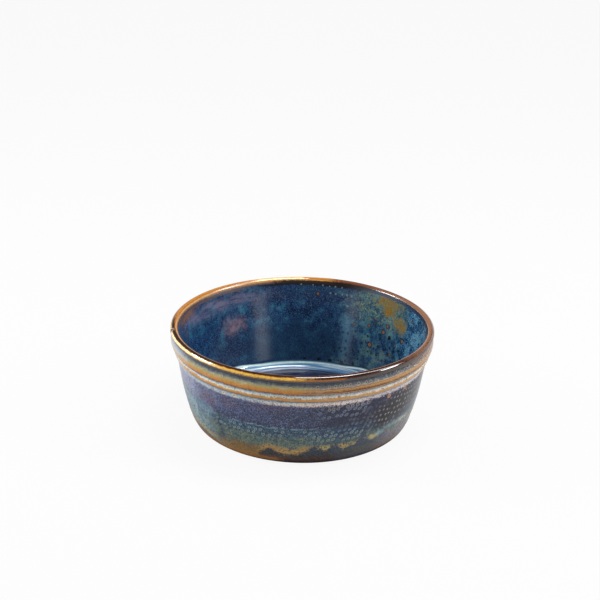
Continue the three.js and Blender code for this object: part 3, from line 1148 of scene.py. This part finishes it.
def add_breaks(paint, layers):
    """Mauve and pink smears to the left, ochre breaks with a sage halo to the right."""
    angle = paint.back_angle
    grain = paint.grain
    rough = paint.ragged * 1.4 + paint.wander * 0.8
    broken = paint.noise(3, 4, 0.65, seed=32).rise(0.42, 0.6)
    strata = paint.noise(12, 3, 0.6, seed=35, squash=6)
    teal = paint.patch(angle, -58, 14, 22, 4, rough * 1.2, 0.9)
    layers.add((30, 92, 116), teal * strata.rise(0.56, 0.4) * 0.25)
    smear = paint.patch(angle, -52, 9, 28, 3.6, rough * 1.2, 0.9)
    layers.add((108, 102, 124), smear * (0.2 + strata.rise(0.4, 0.64) * 0.55))
    corner = paint.patch(angle, -76, 5, 9, 1.8, rough, 0.8)
    layers.add((116, 84, 58), corner * 0.75)
    smudge = paint.patch(angle, -40, 22.4, 6.5, 4.2, rough * 1.3, 0.8)
    layers.add((122, 100, 108), smudge * (0.35 + broken * 0.5))
    halo = paint.patch(angle, 45, 10, 16, 8.5, rough * 1.4, 0.8)
    sage = grain.ramp([(0.36, (34, 72, 84)), (0.52, (88, 114, 100)), (0.66, (148, 152, 118))])
    layers.add(sage, halo * (0.25 + broken * 0.65))
    ochre = grain.ramp([(0.36, (98, 76, 24)), (0.5, (126, 88, 18)), (0.66, (140, 112, 46))])
    for centre, at, wide, tall in OCHRE_BREAKS:
        rim = paint.patch(angle, centre, at, wide * BREAK_RIM, tall * BREAK_RIM, rough * 2, 0.7)
        layers.add((106, 108, 72), rim * 0.7)
        core = paint.patch(angle, centre, at, wide, tall, rough * 2, 0.9)
        layers.add(ochre, core * (0.4 + broken * 0.6))


def add_pits(paint, layers):
    """Brown spots with dark rims, and dark pits low down at the right."""
    angle = paint.back_angle
    depth = paint.depth
    across = angle * math.radians(RIM_RADIUS - LINING_INSET)
    distance, chance = paint.cells(across, depth, PIT_SPACING, 0.75)
    zone = (angle + paint.wander * 20).band(17, 74, 5) * (depth + paint.wander * 8).rise(21, 27)
    zone = zone * depth.rise(46.5, 45) * chance.rise(0.2, 0.3)
    layers.add((8, 20, 30), (distance + chance * 0.5).rise(1.5, 0.6) * zone * 0.85)
    layers.add((10, 16, 26), paint.spots(angle, DARK_PITS))
    layers.add_rings(angle, BROWN_SPOTS, (22, 26, 36), 0.85, 0.6, (126, 88, 60), 0.8)


def add_pool(paint, layers):
    """Pale glaze that has run together in rings where the wall meets the floor, its top line partly a
    painted highlight, and the dark floor.
    """
    angle = paint.back_angle
    streaks = paint.noise(34, 2, seed=33, squash=80) - 0.5
    # The rings sit higher at the sides, as the painted highlight does
    ring = paint.depth + streaks * 0.7 + abs(angle).rise(24, 42) * 1.5
    pool = Layers(paint, ring.ramp(POOL_AND_HIGHLIGHT))
    pool.add((52, 104, 144), angle.band(2, 150, 10) * ring.band(48.4, 51, 0.3) * 0.7)
    middle = abs(angle).rise(30, 18) * (ring + paint.ragged).band(47.4, 48.2, 0.3)
    pool.add((74, 132, 158), middle * 0.55)
    pool.add((196, 210, 218), streaks.rise(0.02, 0.16) * ring.band(48.6, 50.8, 0.2) * 0.6)
    layers.add(pool.colour, (ring + paint.ragged * 0.4).rise(*POOL_EDGE))
    mottle = paint.noise(7, 4, 0.6, seed=34)
    floor = mottle.ramp([(0.34, (22, 28, 52)), (0.5, (29, 36, 62)), (0.68, (46, 56, 84))])
    layers.add(floor, (paint.radius + streaks * 6).rise(*FLOOR_EDGE))


def inner_glaze():
    paint = Glaze("glazed_inside", 41)
    angle = paint.back_angle
    layers = lining_layers(paint)
    add_breaks(paint, layers)
    add_pits(paint, layers)
    # A line under the rim's band, brown at the left and dark straight behind
    line = (paint.depth + paint.ragged * 1.6 + paint.wander).rise(*RIM_LINE)
    layers.add((96, 72, 50), line * angle.rise(-24, -40) * 0.7)
    layers.add((22, 16, 18), line * (angle + paint.wander * 10).band(-22, 30, 6) * 0.9)
    layers.add((118, 138, 134), paint.spots(angle, PALE_SPECKS) * 0.55)
    add_pool(paint, layers)
    fine = paint.fine_relief(*INSIDE_RELIEF)
    return paint.finish(layers.colour, INSIDE_ROUGHNESS, fine, INSIDE_REFRACTION)


# Lip's section, from its underside outside, over the top, to the inside: (turn in degrees, colour). The
# near-black under the lip is painted shade.
UNDER_LIP_SHADE = (15, 8, 6)
GOLD_LIP = [
    (-45, (20, 14, 14)), (-12, UNDER_LIP_SHADE), (-5, (92, 50, 12)), (4, (186, 132, 44)), (24, (226, 182, 84)),
    (42, (200, 146, 50)), (50, (96, 50, 12)), (55, (24, 10, 4)), (66, (66, 34, 14)), (74, (24, 10, 4)),
    (90, (30, 13, 6)), (102, (110, 64, 24)), (124, (186, 128, 56)), (136, (160, 98, 36)),
    (152, (180, 124, 58)), (164, (120, 80, 40)), (184, (84, 60, 40)), (206, (40, 46, 66)),
]
# Behind, the pale band on the lip's inner side, from turn 142 to 170, is a painted highlight
BACK_LIP = [
    (-45, (36, 30, 34)), (-10, UNDER_LIP_SHADE), (10, (90, 50, 18)), (50, (96, 56, 22)), (68, (116, 68, 26)),
    (80, (156, 98, 34)), (104, (172, 116, 46)), (122, (164, 100, 30)), (132, (140, 82, 26)),
    (142, (182, 128, 58)), (156, (196, 150, 90)), (170, (156, 110, 68)), (184, (120, 88, 66)),
    (196, (74, 66, 72)), (206, (34, 46, 76)),
]
BROWN_LIP = [
    (-45, (36, 34, 38)), (-14, (28, 18, 15)), (0, (42, 17, 6)), (22, (62, 25, 7)), (34, (17, 6, 3)),
    (44, (44, 19, 9)), (64, (64, 32, 17)), (76, (26, 11, 5)), (96, (76, 38, 16)), (112, (112, 64, 36)),
    (128, (98, 52, 28)), (146, (88, 46, 26)), (155, (30, 17, 13)), (180, (20, 15, 16)),
    (206, (18, 26, 44)),
]

# One bare spot on the lip at the far left
BARE_SPOT_ANGLE = -79.5
BARE_SPOT_DEPTH = 1.9


def rim_glaze():
    paint = Glaze("glazed_rim", 51)
    angle = paint.front_angle
    loose = paint.ragged * 16
    around = angle + loose
    out = paint.radius - float(lip_centre[0])
    up = paint.z - float(lip_centre[1])
    turn = paint.maths("WRAP", paint.maths("ARCTAN2", up, out) * math.degrees(1), 270, -90)
    uneven = turn + paint.ragged * 20 + paint.wander * 12 + (paint.grain - 0.5) * 24
    layers = Layers(paint, uneven.ramp(GOLD_LIP))
    layers.add(uneven.ramp(BACK_LIP), paint.most(around.rise(155, 176), around.rise(-84, -100)))
    layers.add(uneven.ramp(BROWN_LIP), around.band(1, 166, 5))
    # The glaze is almost cream at the left, which is partly a painted highlight, and straight behind,
    # with dark specks in the gold
    layers.add((250, 232, 178), around.band(-80, -40, 8) * uneven.band(6, 46, 8) * 0.85)
    layers.add((232, 204, 138), abs(angle + 170).rise(18, 10) * uneven.band(96, 136, 8) * 0.75)
    layers.add((58, 32, 10), paint.flecks.rise(0.58, 0.66) * around.rise(4, -4) * 0.55)
    # Gold that thins out to the right of the front, and tan with a flecked line at the far right
    layers.add((164, 94, 28), around.band(0, 17, 4) * uneven.band(-2, 24, 5) * 0.75)
    tan = around.band(54, 118, 12) * uneven.band(30, 130, 20)
    inner = around.band(96, 138, 10) * uneven.band(112, 156, 8)
    layers.add((138, 100, 76), paint.most(tan * 0.6, inner * 0.55))
    line = uneven.band(52, 72, 5) * around.band(60, 124, 10)
    layers.add((40, 24, 16), line * paint.grain.rise(0.56, 0.44) * 0.9)
    # A dark edge inside straight behind, and blue that shows through the band at the right
    layers.add((24, 14, 10), uneven.rise(150, 164) * (paint.back_angle + loose).band(-14, 28, 5) * 0.9)
    layers.add((27, 50, 82), uneven.rise(166, 184) * around.band(10, 148, 8) * 0.85)
    # The bare spot, with a pale edge
    reach = paint.from_spot(angle, BARE_SPOT_ANGLE, BARE_SPOT_DEPTH) + paint.ragged * 3
    outside = turn.rise(96, 80)
    layers.add((214, 178, 116), reach.rise(2.6, 2.2) * outside * 0.6)
    bare = reach.rise(2, 1.6) * outside
    layers.add((24, 19, 19), bare * 0.95)
    # Softer gloss at both sides behind
    soft = abs(paint.back_angle).band(24, 90, 10) * turn.rise(90, 110)
    roughness = RIM_ROUGHNESS + soft * RIM_BEHIND_ROUGHER + bare * RIM_BARE_ROUGHER
    return paint.finish(layers.colour, roughness, paint.fine_relief(*RIM_RELIEF), RIM_REFRACTION)


def base_glaze():
    paint = Glaze("glazed_base", 61)
    mottle = paint.noise(6, 4, 0.6, seed=62)
    layers = Layers(paint, mottle.ramp([(0.3, (34, 44, 64)), (0.5, (48, 62, 84)), (0.72, (84, 92, 96))]))
    layers.add((98, 108, 124), paint.flecks.rise(0.55, 0.7) * 0.5)
    thin = (paint.radius + paint.ragged * 2).rise(43, 46)
    layers.add((92, 66, 44), thin * 0.8)
    roughness = BASE_ROUGHNESS + thin * BASE_THIN_ROUGHER
    return paint.finish(layers.colour, roughness, paint.grain * BASE_RELIEF)


def bare_clay():
    paint = Glaze("bare_clay", 71)
    grains = [(0.3, (150, 124, 96)), (0.5, (186, 164, 134)), (0.7, (206, 188, 160))]
    layers = Layers(paint, paint.grain.ramp(grains))
    layers.add((120, 92, 66), paint.flecks.rise(0.62, 0.72) * 0.7)
    return paint.finish(layers.colour, CLAY_ROUGHNESS, paint.grain * CLAY_RELIEF)


# The dish
lining = lining_section()
rim = rim_section()
outside = outside_section(rim[-1])
surface = np.concatenate([lining, rim[1:], outside[1:]])
surface_normals = outward(surface)
rim_from = len(lining) - 1
rim_to = rim_from + len(rim) - 1
below_lip = np.arange(len(surface)) >= rim_to
lift = np.where(below_lip[:, None], relief(surface, True), relief(surface, False))
smooth = grid_normals(turned(surface, surface_normals, lift))

# The three coats of that surface: node, material, rows, and strips of its map
coats = [
    ("inner_glaze", inner_glaze(), slice(0, rim_from + 1), 2),
    ("rim_glaze", rim_glaze(), slice(rim_from, rim_to + 1), 6),
    ("outer_glaze", outer_glaze(), slice(rim_to, len(surface)), 3),
]
for node, material, zone, strips in coats:
    piece = add_coat(node, surface[zone], surface_normals[zone], lift[zone], smooth[zone], strips)
    piece.data.materials.append(material)

underside = underside_section()
underside_normals = outward(underside)
even = np.zeros((len(underside), AROUND))
underside_smooth = grid_normals(turned(underside, underside_normals, even))
piece = add_coat("base_glaze", underside, underside_normals, even, underside_smooth, 2)
piece.data.materials.append(base_glaze())
body = add_body(surface, surface_normals, lift, underside, underside_normals)
body.data.materials.append(bare_clay())


# Stage, lamps and camera

# Floor: its size in metres and the level of its grey
FLOOR_SIZE = 12
FLOOR_WHITE = 0.42

# Share of plain white in the floor, to the camera and in a reflection. The rest keeps the dish's shadow.
WHITE_TO_CAMERA = 0.92
WHITE_IN_GLOSS = 0.02

# Light from all round on things. To the eye, the surroundings are white.
SURROUND_LIGHT = 0.74

# In reflections the room is white low down behind and beside the dish, and dark overhead and in front
ROOM_DARK = 0.12
ROOM_FRONT = (-0.8, -0.1)
ROOM_OVERHEAD = (0.32, 0.05)

# Lamps: (name, angle from the front, elevation, width and height in metres, power)
LAMP_DISTANCE = 0.9
LAMPS = [
    ("left_softbox", -94, 29, 0.35, 0.15, 5.3),
    ("right_softbox", 80, 31, 0.26, 0.12, 2.8),
    ("overhead_softbox", 90, 79, 0.22, 0.42, 5),
    ("slanting_softbox", 94, 50, 0.2, 0.5, 2.2),
]

# Camera: looks at a point on the axis from the front, then turns a little to frame the dish
AIM_HEIGHT = 25
CAMERA_DISTANCE = 704.19
CAMERA_ELEVATION = math.radians(24.9512)
CAMERA_PITCH = math.radians(3.2966)
CAMERA_YAW = math.radians(0.1289)
CAMERA_ROLL = math.radians(-1.1692)
CAMERA_LENS = 78.13
SENSOR_WIDTH = 36


def add_floor():
    """A white floor, which keeps a faint shadow of the dish."""
    mesh = bpy.data.meshes.new("floor")
    half = FLOOR_SIZE / 2
    corners = [(-half, -half, 0), (half, -half, 0), (half, half, 0), (-half, half, 0)]
    mesh.from_pydata(corners, [], [(0, 1, 2, 3)])
    floor = bpy.data.objects.new("floor", mesh)
    bpy.context.scene.collection.objects.link(floor)
    paint = Paint("white_floor")
    direct = paint.rays("Camera", "Transmission")
    share = paint.most(direct * WHITE_TO_CAMERA, paint.rays("Glossy") * WHITE_IN_GLOSS)
    diffuse = paint.nodes.new("ShaderNodeBsdfDiffuse")
    diffuse.inputs["Color"].default_value = (FLOOR_WHITE, FLOOR_WHITE, FLOOR_WHITE, 1)
    white = paint.nodes.new("ShaderNodeEmission")
    white.inputs["Strength"].default_value = 1
    mixed = paint.nodes.new("ShaderNodeMixShader")
    paint.feed(mixed.inputs["Fac"], share)
    paint.links.new(diffuse.outputs[0], mixed.inputs[1])
    paint.links.new(white.outputs[0], mixed.inputs[2])
    paint.links.new(mixed.outputs[0], paint.nodes["Material Output"].inputs["Surface"])
    mesh.materials.append(paint.material)


def set_surroundings():
    """White all round to the eye, a half-dark room in reflections, and a softer light on things."""
    world = bpy.data.worlds.new("surroundings")
    bpy.context.scene.world = world
    tree = Tree(world)
    direction = tree.nodes.new("ShaderNodeTexCoord")
    parts = tree.nodes.new("ShaderNodeSeparateXYZ")
    tree.links.new(direction.outputs["Generated"], parts.inputs[0])
    front = Value(tree, parts.outputs["Y"]).rise(*ROOM_FRONT, ROOM_DARK)
    overhead = Value(tree, parts.outputs["Z"]).rise(*ROOM_OVERHEAD, ROOM_DARK)
    room = tree.maths("MINIMUM", front, overhead)
    light = tree.blend(SURROUND_LIGHT, room, tree.rays("Glossy"))
    strength = tree.blend(light, 1, tree.rays("Camera", "Transmission"))
    background = tree.nodes["Background"]
    background.inputs["Color"].default_value = (1, 1, 1, 1)
    tree.feed(background.inputs["Strength"], strength)


def add_softbox(name, azimuth, elevation, wide, tall, power):
    """A rectangular lamp that faces the dish, from an angle round it and a height above the table."""
    lamp = bpy.data.lights.new(name, "AREA")
    lamp.shape = "RECTANGLE"
    lamp.size = wide
    lamp.size_y = tall
    lamp.energy = power
    turn = math.radians(azimuth)
    rise = math.radians(elevation)
    flat = math.cos(rise) * LAMP_DISTANCE
    softbox = bpy.data.objects.new(name, lamp)
    height = math.sin(rise) * LAMP_DISTANCE
    softbox.location = (flat * math.sin(turn), -flat * math.cos(turn), height)
    facing = Vector((0, 0, HEIGHT * MM / 2)) - softbox.location
    softbox.rotation_euler = facing.to_track_quat("-Z", "Y").to_euler()
    softbox.visible_camera = False
    bpy.context.scene.collection.objects.link(softbox)


def add_camera():
    aim = Vector((0, 0, AIM_HEIGHT)) * MM
    away = Vector((0, -math.cos(CAMERA_ELEVATION), math.sin(CAMERA_ELEVATION)))
    forward = -away
    right = Vector((1, 0, 0))
    up = right.cross(forward)
    pitch = Matrix.Rotation(CAMERA_PITCH, 3, right)
    forward = pitch @ forward
    up = pitch @ up
    yaw = Matrix.Rotation(CAMERA_YAW, 3, up)
    forward = yaw @ forward
    right = yaw @ right
    roll = Matrix.Rotation(CAMERA_ROLL, 3, forward)
    right = roll @ right
    up = roll @ up
    data = bpy.data.cameras.new("camera")
    data.sensor_fit = "HORIZONTAL"
    data.sensor_width = SENSOR_WIDTH
    data.lens = CAMERA_LENS
    camera = bpy.data.objects.new("camera", data)
    bpy.context.scene.collection.objects.link(camera)
    turn = Matrix((right, up, -forward)).transposed()
    camera.matrix_world = Matrix.Translation(aim + away * CAMERA_DISTANCE * MM) @ turn.to_4x4()
    bpy.context.scene.camera = camera


add_floor()
set_surroundings()
for lamp in LAMPS:
    add_softbox(*lamp)
add_camera()
bpy.context.scene.view_settings.view_transform = "Standard"
